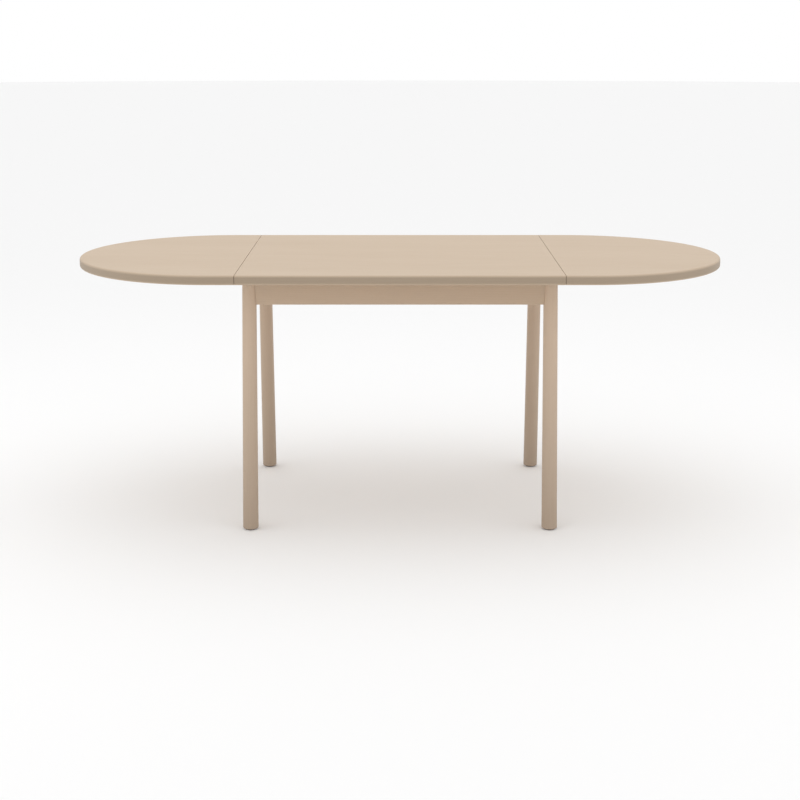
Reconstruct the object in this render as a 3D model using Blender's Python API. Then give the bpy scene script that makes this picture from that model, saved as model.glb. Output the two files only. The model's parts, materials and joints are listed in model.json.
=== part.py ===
"""Drop-leaf dining table with round legs and two round-ended leaves.

Frame: origin on the floor under the middle of the top, +X along the length,
+Y towards the rear, +Z up, in metres.  A fixed centre section stands on four
round legs that lean outwards to the front and rear.  A leaf hinges at each end.
Under each leaf a prop gate, hinged on the end apron, holds the leaf level; its
bar stands behind a keeper strip, and the gate swings down as the leaf folds.
"""
import math

import bmesh
import bpy
from mathutils import Matrix, Vector

# ------------------------------------------------------------------ driving sizes
TOP_HEIGHT = 0.730            # floor to the upper face of the top
TOP_THICKNESS = 0.026
TABLE_WIDTH = 0.820           # front edge to rear edge
CENTRE_LENGTH = 0.880         # fixed section, seam to seam
LEAF_STRAIGHT = 0.075         # straight side of a leaf before its round end
SEAM_GAP = 0.0012             # open joint between a leaf and the centre section
EDGE_RADIUS = 0.006           # rounding of the outer edge, above and below
GAP = 0.0003                  # clearance between pieces that touch

LEG_TOP_DIAMETER = 0.039
LEG_FOOT_DIAMETER = 0.043
LEG_INSET_X = 0.024           # leg axis inboard of the seam
LEG_INSET_Y = 0.170           # leg axis behind the front edge, at the top
LEG_SPREAD = 0.070            # how much further out the foot stands than the top
FOOT_ROUNDING = 0.0025
GLIDE_DIAMETER = 0.032
GLIDE_THICKNESS = 0.003

APRON_HEIGHT = 0.080
APRON_THICKNESS = 0.022
END_POCKET = 0.033            # seam to the outer face of an end apron
TENON_THICKNESS = 0.009
TENON_DEPTH = 0.014
TENON_SHOULDER = 0.010        # tenon shorter than the apron, above and below
END_TENON_THICKNESS = 0.0065
END_TENON_SETBACK = 0.0012    # end tenon behind the outer face of its apron
RAIL_HEIGHT = 0.050
RAIL_THICKNESS = 0.022
HOUSING_DEPTH = 0.006         # rail let into the long aprons
BLOCK_SIDE = 0.065
BLOCK_HEIGHT = 0.045
BLOCK_DROP = 0.020            # glue block below the top

BUTTON_LENGTH = 0.030
BUTTON_WIDTH = 0.025
BUTTON_THICKNESS = 0.014
TONGUE_LENGTH = 0.008
TONGUE_THICKNESS = 0.006
BUTTON_X = 0.200              # along the long aprons

HINGE_BESIDE_LEG = 0.060      # middle of each flap hinge, outside the leg axis
HINGE_WIDTH = 0.060
HINGE_REACH = 0.040           # plate edge from the pin
PLATE_THICKNESS = 0.0018
KNUCKLE_RADIUS = 0.0040
PIN_RADIUS = 0.0016
KNUCKLE_CLEARANCE = 0.0005    # knuckle below the underside of the boards

GATE_CLEARANCE = 0.002        # gate arm in front of the end apron when it hangs
GATE_PIVOT_DROP = 0.050       # gate pivot below the underside
GATE_REACH = 0.200            # gate bar outboard of the seam
GATE_ARM_Y = 0.063
GATE_ARM_WIDTH = 0.014
GATE_ARM_DEPTH = 0.014
GATE_BAR_RADIUS = 0.008
SPIGOT_RADIUS = 0.004
ROD_RADIUS = 0.004
EAR_THICKNESS = 0.003
EAR_WALL = 0.004              # metal round the rod
BASE_THICKNESS = 0.0022
BASE_WIDTH = 0.028
BASE_HEIGHT = 0.040
ROD_PROUD = 0.0025            # rod end beyond its bracket
KEEPER_PLAY = 0.004
KEEPER_LENGTH = 0.090
KEEPER_WIDTH = 0.014
KEEPER_HEIGHT = 0.0026

BATTEN_Y = 0.160
BATTEN_START = 0.060
BATTEN_LENGTH = 0.320
BATTEN_WIDTH = 0.030
BATTEN_HEIGHT = 0.016
BATTEN_CHAMFER = 0.004
BUMPER_HANG = 0.300           # bumper below the pin when the leaf hangs
BUMPER_RADIUS = 0.009
BUMPER_CLEARANCE = 0.001

ROUND_END_STEPS = 56
LEG_STEPS = 36
ROUND_STEPS = 16
BAR_STEPS = 20
GLIDE_STEPS = 24

# ------------------------------------------------------------------ worked out
UNDER = TOP_HEIGHT - TOP_THICKNESS
HALF_WIDTH = TABLE_WIDTH / 2
SEAM_X = CENTRE_LENGTH / 2
LEG_X = SEAM_X - LEG_INSET_X
LEG_TOP_Y = HALF_WIDTH - LEG_INSET_Y
LEG_SLOPE = LEG_SPREAD / UNDER
APRON_LOW = UNDER - APRON_HEIGHT
LONG_APRON_Y = LEG_TOP_Y + LEG_SLOPE * APRON_HEIGHT / 2
LONG_INNER_Y = LONG_APRON_Y - APRON_THICKNESS / 2
END_OUTER_X = SEAM_X - END_POCKET
END_INNER_X = END_OUTER_X - APRON_THICKNESS
PIN_DROP = KNUCKLE_RADIUS + KNUCKLE_CLEARANCE
LEAF_PIN_Z = UNDER - PIN_DROP
HINGE_Y = LEG_TOP_Y + HINGE_BESIDE_LEG
GATE_PIVOT_X = END_OUTER_X + GATE_CLEARANCE + GATE_ARM_DEPTH / 2
GATE_PIVOT_Z = UNDER - GATE_PIVOT_DROP
GATE_TIP_X = SEAM_X + GATE_REACH
GATE_TIP_Z = UNDER - GAP - GATE_BAR_RADIUS
GATE_ARM_SPAN = math.hypot(GATE_TIP_X - GATE_PIVOT_X, GATE_TIP_Z - GATE_PIVOT_Z)
GATE_ARM_RISE = math.atan2(GATE_TIP_Z - GATE_PIVOT_Z, GATE_TIP_X - GATE_PIVOT_X)
EAR_RADIUS = ROD_RADIUS + EAR_WALL
EAR_Y = GATE_ARM_Y + GATE_ARM_WIDTH / 2 + GAP
ROD_HALF = EAR_Y + EAR_THICKNESS + ROD_PROUD

SIDES = {"left": -1, "right": 1}
ENDS = {"front": -1, "rear": 1}

# ------------------------------------------------------------------ scene and materials
for old in list(bpy.data.objects):
    bpy.data.objects.remove(old, do_unlink=True)

PARTS = bpy.data.collections.new("drop_leaf_table")
CUTTERS = bpy.data.collections.new("cutters")
bpy.context.scene.collection.children.link(PARTS)
bpy.context.scene.collection.children.link(CUTTERS)


def material(name, colour, roughness, metallic=0.0):
    made = bpy.data.materials.new(name)
    made.use_nodes = True
    shader = made.node_tree.nodes["Principled BSDF"]
    shader.inputs["Base Color"].default_value = (*colour, 1.0)
    shader.inputs["Roughness"].default_value = roughness
    shader.inputs["Metallic"].default_value = metallic
    made.diffuse_color = (*colour, 1.0)
    return made


TOP_WOOD = material("top_wood", (0.645, 0.546, 0.402), 0.55)
FRAME_WOOD = material("frame_wood", (0.600, 0.480, 0.345), 0.55)
INNER_WOOD = material("inner_wood", (0.560, 0.440, 0.300), 0.60)
STEEL = material("zinc_steel", (0.62, 0.62, 0.60), 0.35, 1.0)
FELT = material("felt", (0.10, 0.09, 0.08), 0.95)


# ------------------------------------------------------------------ modelling helpers
def put(name, mesh_data, finish=None, collection=PARTS, parent=None):
    """Make an object of a bmesh; a parent's place is taken out of the mesh."""
    if parent is not None:
        bmesh.ops.translate(mesh_data, verts=mesh_data.verts, vec=-parent.location)
    mesh = bpy.data.meshes.new(name)
    mesh_data.to_mesh(mesh)
    mesh_data.free()
    mesh.shade_smooth()
    mesh.set_sharp_from_angle(angle=math.radians(30))
    made = bpy.data.objects.new(name, mesh)
    if finish is not None:
        mesh.materials.append(finish)
    made.parent = parent
    collection.objects.link(made)
    return made


def cutter(name, mesh_data, parent=None):
    made = put(name, mesh_data, collection=CUTTERS, parent=parent)
    made.display_type = "WIRE"
    made.hide_render = True
    return made


def combine(host, tool, operation):
    modifier = host.modifiers.new(f"{operation.lower()}_{tool.name}", "BOOLEAN")
    modifier.operation = operation
    modifier.solver = "EXACT"
    modifier.object = tool


def axis_empty(name, x, z):
    """An empty on a joint axis that runs along Y."""
    made = bpy.data.objects.new(name, None)
    made.location = (x, 0.0, z)
    made.empty_display_size = 0.05
    PARTS.objects.link(made)
    return made


def joined(*pieces):
    """Collect several closed solids in one bmesh."""
    whole = bmesh.new()
    for piece in pieces:
        holder = bpy.data.meshes.new("holder")
        piece.to_mesh(holder)
        piece.free()
        whole.from_mesh(holder)
        bpy.data.meshes.remove(holder)
    return whole


def block(low, high):
    """A box between two corners, given in any order."""
    ends = [sorted(pair) for pair in zip(low, high)]
    size = [b - a for a, b in ends]
    middle = [(a + b) / 2 for a, b in ends]
    made = bmesh.new()
    place = Matrix.Translation(middle) @ Matrix.Diagonal((*size, 1.0))
    bmesh.ops.create_cube(made, size=1.0, matrix=place)
    return made


def cylinder(radius, length, place, steps=ROUND_STEPS):
    """A cylinder centred on the matrix, along its local Z."""
    made = bmesh.new()
    bmesh.ops.create_cone(made, cap_ends=True, segments=steps, radius1=radius,
                          radius2=radius, depth=length, matrix=place)
    return made


def along_y(x, y, z):
    """Local Z turned to +Y."""
    return Matrix.Translation((x, y, z)) @ Matrix.Rotation(-math.pi / 2, 4, "X")


def turned(profile, place, steps=BAR_STEPS):
    """Spin a profile of (radius, height) points, ends on the axis, round local Z."""
    made = bmesh.new()
    points = [made.verts.new((radius, 0.0, height)) for radius, height in profile]
    edges = [made.edges.new(pair) for pair in zip(points, points[1:])]
    bmesh.ops.spin(made, geom=points + edges, cent=(0, 0, 0), axis=(0, 0, 1),
                   angle=2 * math.pi, steps=steps, use_merge=True)
    bmesh.ops.remove_doubles(made, verts=made.verts, dist=1e-6)
    bmesh.ops.recalc_face_normals(made, faces=made.faces)
    bmesh.ops.transform(made, matrix=place, verts=made.verts)
    return made


def prism(outline, low, high, place=None):
    """A closed outline of (x, y) points, filled and extruded from low to high."""
    curve = bpy.data.curves.new("outline", "CURVE")
    curve.dimensions = "2D"
    curve.fill_mode = "BOTH"
    curve.extrude = (high - low) / 2
    spline = curve.splines.new("POLY")
    spline.points.add(len(outline) - 1)
    for point, (x, y) in zip(spline.points, outline):
        point.co = (x, y, 0.0, 1.0)
    spline.use_cyclic_u = True
    holder = bpy.data.objects.new("outline", curve)
    CUTTERS.objects.link(holder)
    graph = bpy.context.evaluated_depsgraph_get()
    mesh = bpy.data.meshes.new_from_object(holder.evaluated_get(graph))
    bpy.data.objects.remove(holder, do_unlink=True)
    made = bmesh.new()
    made.from_mesh(mesh)
    bpy.data.meshes.remove(mesh)
    bmesh.ops.remove_doubles(made, verts=made.verts, dist=1e-6)
    bmesh.ops.dissolve_limit(made, angle_limit=math.radians(0.5),
                             verts=made.verts, edges=made.edges)
    bmesh.ops.recalc_face_normals(made, faces=made.faces)
    shift = Matrix.Translation((0, 0, (low + high) / 2))
    bmesh.ops.transform(made, matrix=(place or Matrix()) @ shift, verts=made.verts)
    return made


def arc(centre_x, centre_y, radius, start, end, steps):
    """Points on an arc, angles in degrees, both ends included."""
    angles = [math.radians(start + (end - start) * i / steps) for i in range(steps + 1)]
    return [(centre_x + radius * math.cos(a), centre_y + radius * math.sin(a)) for a in angles]


def mirrored_points(points, side):
    """Flip an outline in X for the left side and keep its turning sense."""
    flipped = [(side * x, y) for x, y in points]
    return flipped if side > 0 else flipped[::-1]


# ------------------------------------------------------------------ boards of the top
def centre_board():
    half = SEAM_X - SEAM_GAP / 2
    made = block((-half, -HALF_WIDTH, UNDER), (half, HALF_WIDTH, TOP_HEIGHT))
    rim = [edge for edge in made.edges
           if abs(edge.verts[0].co.x - edge.verts[1].co.x) > half]
    bmesh.ops.bevel(made, geom=rim, offset=EDGE_RADIUS, segments=3,
                    profile=0.5, affect="EDGES")
    put("centre_top", made, TOP_WOOD)


def leaf_board(side_name, side, parent):
    inner = SEAM_X + SEAM_GAP / 2
    outline = [(inner, HALF_WIDTH), (inner, -HALF_WIDTH)]
    outline += arc(SEAM_X + LEAF_STRAIGHT, 0.0, HALF_WIDTH, -90, 90, ROUND_END_STEPS)
    made = prism(mirrored_points(outline, side), UNDER, TOP_HEIGHT)
    seam = side * inner
    rim = [edge for edge in made.edges
           if abs(edge.verts[0].co.z - edge.verts[1].co.z) < 1e-6
           and not all(abs(vert.co.x - seam) < 1e-6 for vert in edge.verts)]
    bmesh.ops.bevel(made, geom=rim, offset=EDGE_RADIUS, segments=3,
                    profile=0.5, affect="EDGES")
    put(f"leaf_{side_name}", made, TOP_WOOD, parent=parent)


# ------------------------------------------------------------------ legs and aprons
def leg_solid(side, end, grow=0.0, low=0.0, high=0.0):
    """A leaning round leg; sections stay level, so top and foot are flat."""
    bottom = GLIDE_THICKNESS + GAP - low
    top = UNDER - GAP + high
    taper = (LEG_FOOT_DIAMETER - LEG_TOP_DIAMETER) / 2 / UNDER
    foot_radius = LEG_FOOT_DIAMETER / 2 + grow
    made = bmesh.new()
    bmesh.ops.create_cone(made, cap_ends=True, segments=LEG_STEPS,
                          radius1=foot_radius - taper * bottom,
                          radius2=foot_radius - taper * top, depth=top - bottom,
                          matrix=Matrix.Translation((0, 0, (top + bottom) / 2)))
    if grow == 0.0:
        rim = [edge for edge in made.edges
               if all(abs(vert.co.z - bottom) < 1e-6 for vert in edge.verts)]
        bmesh.ops.bevel(made, geom=rim, offset=FOOT_ROUNDING, segments=2,
                        profile=0.5, affect="EDGES")
    for vert in made.verts:
        reach = LEG_TOP_Y + LEG_SLOPE * (UNDER - vert.co.z)
        vert.co.y += end * reach
        vert.co.x += side * LEG_X
    return made


def long_tenon(side, end, grow=0.0):
    """Tenon of a long apron, reaching into the leg from its inboard side."""
    tip = LEG_X - LEG_TOP_DIAMETER / 2 + TENON_DEPTH
    root = LEG_X - LEG_FOOT_DIAMETER
    half = TENON_THICKNESS / 2 + grow
    return block(
        (side * root, end * LONG_APRON_Y - half, APRON_LOW + TENON_SHOULDER - grow),
        (side * (tip + grow), end * LONG_APRON_Y + half, UNDER - TENON_SHOULDER + grow))


def end_tenon(side, end, grow=0.0):
    """Stub tenon of an end apron, stopping short of the long apron's tenon."""
    outer = END_OUTER_X - END_TENON_SETBACK
    tip = LONG_APRON_Y - TENON_THICKNESS / 2 - 0.002
    root = LONG_INNER_Y - LEG_FOOT_DIAMETER / 2
    return block(
        (side * (outer + grow), end * root, APRON_LOW + TENON_SHOULDER - grow),
        (side * (outer - END_TENON_THICKNESS - grow), end * (tip + grow),
         UNDER - TENON_SHOULDER + grow))


def button_sites():
    """Name, middle of the slot on the apron's inner face, and direction inwards."""
    sites = {}
    for side_name, side in SIDES.items():
        for end_name, end in ENDS.items():
            face = Vector((side * BUTTON_X, end * LONG_INNER_Y, 0))
            sites[f"top_button_{end_name}_{side_name}"] = (face, Vector((0, -end, 0)))
        face = Vector((side * END_INNER_X, 0, 0))
        sites[f"top_button_{side_name}"] = (face, Vector((-side, 0, 0)))
    return sites


def button_matrix(face, inwards):
    """Local X inwards, local Y up, local Z along the apron."""
    up = Vector((0, 0, 1))
    across = inwards.cross(up)
    turn = Matrix((inwards, up, across)).transposed().to_4x4()
    return Matrix.Translation(face + up * UNDER) @ turn


def build_buttons():
    outline = [
        (-TONGUE_LENGTH, -BUTTON_THICKNESS),
        (BUTTON_LENGTH, -BUTTON_THICKNESS),
        (BUTTON_LENGTH, -GAP),
        (GAP, -GAP),
        (GAP, TONGUE_THICKNESS - BUTTON_THICKNESS),
        (-TONGUE_LENGTH, TONGUE_THICKNESS - BUTTON_THICKNESS),
    ]
    for name, site in button_sites().items():
        solid = prism(outline, -BUTTON_WIDTH / 2, BUTTON_WIDTH / 2, button_matrix(*site))
        put(name, solid, INNER_WOOD)


def button_slots():
    """Mortises in the aprons for the buttons' tongues."""
    slots = []
    for site in button_sites().values():
        slot = block((-TONGUE_LENGTH - GAP, -BUTTON_THICKNESS - GAP, -BUTTON_WIDTH / 2 - GAP),
                     (GAP, TONGUE_THICKNESS - BUTTON_THICKNESS + GAP, BUTTON_WIDTH / 2 + GAP))
        bmesh.ops.transform(slot, matrix=button_matrix(*site), verts=slot.verts)
        slots.append(slot)
    return cutter("button_slots", joined(*slots))


def housings():
    """Vertical grooves in the long aprons for the ends of the centre rail."""
    half = RAIL_THICKNESS / 2 + GAP
    low = UNDER - GAP - RAIL_HEIGHT - GAP
    grooves = []
    for end in (-1, 1):
        inner = end * (LONG_INNER_Y - 0.002)
        bottom = end * (LONG_INNER_Y + HOUSING_DEPTH + GAP)
        grooves.append(block((-half, inner, low), (half, bottom, UNDER + 0.002)))
    return cutter("rail_housings", joined(*grooves))


def build_frame():
    slots = button_slots()
    grooves = housings()
    copes = {}
    end_mortises = {}
    for side_name, side in SIDES.items():
        for end_name, end in ENDS.items():
            place = f"{end_name}_{side_name}"
            leg = put(f"leg_{place}", leg_solid(side, end), FRAME_WOOD)
            combine(leg, cutter(f"long_mortise_{place}", long_tenon(side, end, GAP)), "DIFFERENCE")
            end_mortise = cutter(f"end_mortise_{place}", end_tenon(side, end, GAP))
            combine(leg, end_mortise, "DIFFERENCE")
            end_mortises[side, end] = end_mortise
            cope = leg_solid(side, end, grow=GAP, low=0.002, high=0.002)
            copes[side, end] = cutter(f"cope_{place}", cope)
            build_corner_block(place, side, end)

    for end_name, end in ENDS.items():
        solid = block((-LEG_X, end * LONG_INNER_Y, APRON_LOW),
                      (LEG_X, end * (LONG_INNER_Y + APRON_THICKNESS), UNDER - GAP))
        apron = put(f"apron_{end_name}", solid, FRAME_WOOD)
        for side_name, side in SIDES.items():
            combine(apron, copes[side, end], "DIFFERENCE")
            combine(apron, end_mortises[side, end], "DIFFERENCE")
            tenon = cutter(f"long_tenon_{end_name}_{side_name}", long_tenon(side, end))
            combine(apron, tenon, "UNION")
        combine(apron, slots, "DIFFERENCE")
        combine(apron, grooves, "DIFFERENCE")

    for side_name, side in SIDES.items():
        half = LONG_INNER_Y - GAP
        solid = block((side * END_INNER_X, -half, APRON_LOW),
                      (side * END_OUTER_X, half, UNDER - GAP))
        apron = put(f"apron_{side_name}", solid, FRAME_WOOD)
        for end_name, end in ENDS.items():
            combine(apron, copes[side, end], "DIFFERENCE")
            tenon = cutter(f"end_tenon_{end_name}_{side_name}", end_tenon(side, end))
            combine(apron, tenon, "UNION")
        combine(apron, slots, "DIFFERENCE")

    half = LONG_INNER_Y + HOUSING_DEPTH
    low = UNDER - GAP - RAIL_HEIGHT
    rail = block((-RAIL_THICKNESS / 2, -half, low), (RAIL_THICKNESS / 2, half, UNDER - GAP))
    put("centre_rail", rail, INNER_WOOD)


def build_corner_block(place, side, end):
    """Three-sided glue block in the corner of two aprons."""
    x = END_INNER_X - GAP
    y = LONG_INNER_Y - GAP
    outline = [(x, y), (x - BLOCK_SIDE, y), (x, y - BLOCK_SIDE)]
    outline = [(side * px, end * py) for px, py in outline]
    if side * end < 0:
        outline.reverse()
    top = UNDER - BLOCK_DROP
    put(f"corner_block_{place}", prism(outline, top - BLOCK_HEIGHT, top), INNER_WOOD)


def build_glides():
    for side_name, side in SIDES.items():
        for end_name, end in ENDS.items():
            y = end * (LEG_TOP_Y + LEG_SPREAD)
            place = Matrix.Translation((side * LEG_X, y, GLIDE_THICKNESS / 2))
            glide = cylinder(GLIDE_DIAMETER / 2, GLIDE_THICKNESS, place, GLIDE_STEPS)
            put(f"foot_glide_{end_name}_{side_name}", glide, FELT)


# ------------------------------------------------------------------ flap hinges
def knuckle(side, y_low, y_high):
    place = along_y(side * SEAM_X, (y_low + y_high) / 2, LEAF_PIN_Z)
    return cylinder(KNUCKLE_RADIUS, y_high - y_low, place)


def hinge_plate(name, side, y, outboard, parent=None):
    """One plate of a flap hinge: the leaf's plate has the middle knuckle."""
    third = HINGE_WIDTH / 3
    way = side if outboard else -side
    high = UNDER - GAP
    low = high - PLATE_THICKNESS
    edge = side * SEAM_X + way * HINGE_REACH
    clear = side * SEAM_X + way * (KNUCKLE_RADIUS + PIN_DROP / 4)
    made = block((clear, y - HINGE_WIDTH / 2, low), (edge, y + HINGE_WIDTH / 2, high))
    plate = put(name, made, STEEL, parent=parent)
    if outboard:
        spans = [(y - third / 2 + GAP, y + third / 2 - GAP)]
    else:
        spans = [(y - HINGE_WIDTH / 2, y - third / 2 - GAP), (y + third / 2 + GAP, y + HINGE_WIDTH / 2)]
    for number, (y_low, y_high) in enumerate(spans):
        arm = block((side * SEAM_X, y_low, low), (clear + way * GAP, y_high, high - GAP))
        combine(plate, cutter(f"{name}_arm_{number}", arm, parent=parent), "UNION")
        roll = knuckle(side, y_low, y_high)
        combine(plate, cutter(f"{name}_roll_{number}", roll, parent=parent), "UNION")
    bore = cylinder(PIN_RADIUS + GAP, HINGE_WIDTH + 0.01, along_y(side * SEAM_X, y, LEAF_PIN_Z))
    combine(plate, cutter(f"{name}_bore", bore, parent=parent), "DIFFERENCE")


def build_hinges(side_name, side, leaf_axis):
    for end_name, end in ENDS.items():
        y = end * HINGE_Y
        hinge_plate(f"hinge_table_plate_{side_name}_{end_name}", side, y, False)
        hinge_plate(f"hinge_leaf_plate_{side_name}_{end_name}", side, y, True, leaf_axis)
        pin = cylinder(PIN_RADIUS, HINGE_WIDTH, along_y(side * SEAM_X, y, LEAF_PIN_Z))
        put(f"hinge_pin_{side_name}_{end_name}", pin, STEEL)


# ------------------------------------------------------------------ underside of a leaf
def build_leaf(side_name, side, axis):
    leaf_board(side_name, side, axis)
    top = UNDER - GAP
    start = side * (SEAM_X + BATTEN_START)
    finish = side * (SEAM_X + BATTEN_START + BATTEN_LENGTH)
    for end_name, end in ENDS.items():
        y = end * BATTEN_Y
        solid = block((start, y - BATTEN_WIDTH / 2, top - BATTEN_HEIGHT),
                      (finish, y + BATTEN_WIDTH / 2, top))
        lower = [edge for edge in solid.edges
                 if all(abs(vert.co.z - top) > 1e-6 for vert in edge.verts)]
        bmesh.ops.bevel(solid, geom=lower, offset=BATTEN_CHAMFER, segments=1,
                        profile=0.5, affect="EDGES")
        put(f"leaf_batten_{side_name}_{end_name}", solid, INNER_WOOD, parent=axis)

    near = SEAM_X + GATE_REACH + GATE_BAR_RADIUS + KEEPER_PLAY
    keeper = block((side * near, -KEEPER_LENGTH / 2, top - KEEPER_HEIGHT),
                   (side * (near + KEEPER_WIDTH), KEEPER_LENGTH / 2, top))
    put(f"gate_keeper_{side_name}", keeper, INNER_WOOD, parent=axis)

    hang_z = LEAF_PIN_Z - BUMPER_HANG
    leg_y = LEG_TOP_Y + LEG_SLOPE * (UNDER - hang_z)
    taper = (LEG_FOOT_DIAMETER - LEG_TOP_DIAMETER) / 2 / UNDER
    leg_outer = LEG_X + LEG_FOOT_DIAMETER / 2 - taper * hang_z
    height = SEAM_X + PIN_DROP - leg_outer - BUMPER_CLEARANCE - GAP
    for end_name, end in ENDS.items():
        place = Matrix.Translation((side * (SEAM_X + BUMPER_HANG), end * leg_y, top - height / 2))
        bumper = cylinder(BUMPER_RADIUS, height, place)
        put(f"leaf_bumper_{side_name}_{end_name}", bumper, FELT, parent=axis)


# ------------------------------------------------------------------ prop gate
def build_brackets(side_name, side):
    """Angle brackets on the end apron; the rod turns in their ears."""
    for end_name, end in ENDS.items():
        foot = END_OUTER_X + GAP
        base = block((side * foot, end * EAR_Y, GATE_PIVOT_Z - BASE_HEIGHT / 2),
                     (side * (foot + BASE_THICKNESS), end * (EAR_Y + BASE_WIDTH),
                      GATE_PIVOT_Z + BASE_HEIGHT / 2))
        name = f"gate_bracket_{side_name}_{end_name}"
        bracket = put(name, base, STEEL)
        outline = [(foot + GAP, EAR_RADIUS), (foot + GAP, -EAR_RADIUS)]
        outline += arc(GATE_PIVOT_X, 0.0, EAR_RADIUS, -90, 90, 10)
        place = along_y(0.0, 0.0, GATE_PIVOT_Z) @ Matrix.Rotation(math.pi, 4, "X")
        low, high = sorted((-end * EAR_Y, -end * (EAR_Y + EAR_THICKNESS)))
        ear = prism(mirrored_points(outline, side), low, high, place)
        combine(bracket, cutter(f"{name}_ear", ear), "UNION")
        hole_place = along_y(side * GATE_PIVOT_X, end * (EAR_Y + EAR_THICKNESS / 2), GATE_PIVOT_Z)
        hole = cylinder(ROD_RADIUS + GAP, EAR_THICKNESS * 3, hole_place)
        combine(bracket, cutter(f"{name}_hole", hole), "DIFFERENCE")


def build_gate(side_name, side, axis):
    pivot = (side * GATE_PIVOT_X, 0.0, GATE_PIVOT_Z)
    tip = (side * GATE_TIP_X, 0.0, GATE_TIP_Z)
    radius = GATE_ARM_DEPTH / 2
    outline = arc(0.0, 0.0, radius, 90, 270, 8)
    outline += arc(GATE_ARM_SPAN, 0.0, radius, -90, 90, 8)
    turn = Matrix.Rotation(-GATE_ARM_RISE, 4, "Y")
    flip = Matrix.Rotation(math.pi, 4, "Z") if side < 0 else Matrix()
    stand = Matrix.Rotation(math.pi / 2, 4, "X")
    for end_name, end in ENDS.items():
        place = Matrix.Translation(pivot) @ flip @ turn @ stand
        middle = -end * side * GATE_ARM_Y
        low, high = middle - GATE_ARM_WIDTH / 2, middle + GATE_ARM_WIDTH / 2
        name = f"gate_arm_{side_name}_{end_name}"
        arm = put(name, prism(outline, low, high, place), INNER_WOOD, parent=axis)
        holes = [cylinder(ROD_RADIUS + GAP, GATE_ARM_WIDTH * 2,
                          along_y(pivot[0], end * GATE_ARM_Y, pivot[2])),
                 cylinder(SPIGOT_RADIUS + GAP, GATE_ARM_WIDTH * 2,
                          along_y(tip[0], end * GATE_ARM_Y, tip[2]))]
        combine(arm, cutter(f"{name}_holes", joined(*holes), parent=axis), "DIFFERENCE")

    body = GATE_ARM_Y - GATE_ARM_WIDTH / 2 - GAP
    spigot = GATE_ARM_Y + GATE_ARM_WIDTH / 2
    profile = [(0.0, spigot), (SPIGOT_RADIUS, spigot), (SPIGOT_RADIUS, body),
               (GATE_BAR_RADIUS, body), (GATE_BAR_RADIUS, -body), (SPIGOT_RADIUS, -body),
               (SPIGOT_RADIUS, -spigot), (0.0, -spigot)]
    put(f"gate_bar_{side_name}", turned(profile, along_y(*tip)), INNER_WOOD, parent=axis)
    put(f"gate_rod_{side_name}", cylinder(ROD_RADIUS, 2 * ROD_HALF, along_y(*pivot)),
        STEEL, parent=axis)


# ------------------------------------------------------------------ the whole table
build_frame()
build_glides()
build_buttons()
centre_board()

for side_label, side_sign in SIDES.items():
    leaf_axis = axis_empty(f"leaf_axis_{side_label}", side_sign * SEAM_X, LEAF_PIN_Z)
    gate_axis = axis_empty(f"gate_axis_{side_label}", side_sign * GATE_PIVOT_X, GATE_PIVOT_Z)
    build_hinges(side_label, side_sign, leaf_axis)
    build_leaf(side_label, side_sign, leaf_axis)
    build_brackets(side_label, side_sign)
    build_gate(side_label, side_sign, gate_axis)
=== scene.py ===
# %% [markdown]
# # A drop-leaf dining table in pale wood
# This lesson dresses a table whose sizes and joints are already fixed. The
# fixed frame is loaded first, and every piece made here takes its place from
# it, so nothing has to be fitted by eye. A piece then rides on the body that
# moves it: the standing frame, one of the two leaves, or one of the two small
# prop gates that hold the leaves up.

# %% Load the frame
import json
import math

import bmesh
import bpy
from mathutils import Matrix, Vector

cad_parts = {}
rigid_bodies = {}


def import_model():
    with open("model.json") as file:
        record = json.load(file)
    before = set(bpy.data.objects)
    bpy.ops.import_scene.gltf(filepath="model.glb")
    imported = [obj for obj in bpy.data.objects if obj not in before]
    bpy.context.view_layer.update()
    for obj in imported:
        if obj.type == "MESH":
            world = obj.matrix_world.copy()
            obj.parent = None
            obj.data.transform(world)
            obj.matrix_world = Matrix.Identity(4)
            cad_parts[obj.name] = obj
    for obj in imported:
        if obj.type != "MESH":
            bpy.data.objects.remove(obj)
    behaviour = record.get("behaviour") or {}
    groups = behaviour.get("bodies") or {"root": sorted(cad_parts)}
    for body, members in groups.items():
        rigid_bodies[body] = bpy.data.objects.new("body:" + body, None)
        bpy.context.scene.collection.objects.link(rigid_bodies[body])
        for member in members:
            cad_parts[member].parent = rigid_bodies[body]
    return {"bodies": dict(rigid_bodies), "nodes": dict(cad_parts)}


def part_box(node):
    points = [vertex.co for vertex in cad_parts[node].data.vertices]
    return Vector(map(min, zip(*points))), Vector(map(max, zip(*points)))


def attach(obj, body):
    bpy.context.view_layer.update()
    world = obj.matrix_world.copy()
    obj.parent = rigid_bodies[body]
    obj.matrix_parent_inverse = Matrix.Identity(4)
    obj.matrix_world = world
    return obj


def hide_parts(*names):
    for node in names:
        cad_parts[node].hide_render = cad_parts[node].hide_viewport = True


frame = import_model()
scene = bpy.context.scene
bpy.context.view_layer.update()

# %% [markdown]
# The two sides and the two ends are mirror images, so one loop over signs makes
# both of each. Heights and depths are read from the boxes of the fixed pieces.
# The few sizes that a box can't show, such as a radius, are named here.

# %% Names for the two sides and ends, and the places they share
SIDES = {"left": -1, "right": 1}
ENDS = {"front": -1, "rear": 1}

centre_low, centre_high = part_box("centre_top")
UNDER, TOP = centre_low.z, centre_high.z
HALF_WIDTH = centre_high.y
SEAM_FACE = centre_high.x             # end face of the centre section
LEAF_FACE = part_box("leaf_right")[0].x
LEAF_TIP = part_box("leaf_right")[1].x
TOUCH = 0.0003                        # clearance between pieces that touch
print(f"board {TOP - UNDER:.3f} m thick, seam gap {LEAF_FACE - SEAM_FACE:.4f} m")

# %% [markdown]
# Shader trees and Geometry Nodes trees are built the same way, node by node.
# This helper makes one node and feeds its inputs: a plain value is set on the
# socket, and a socket of another node is linked to it.

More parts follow.
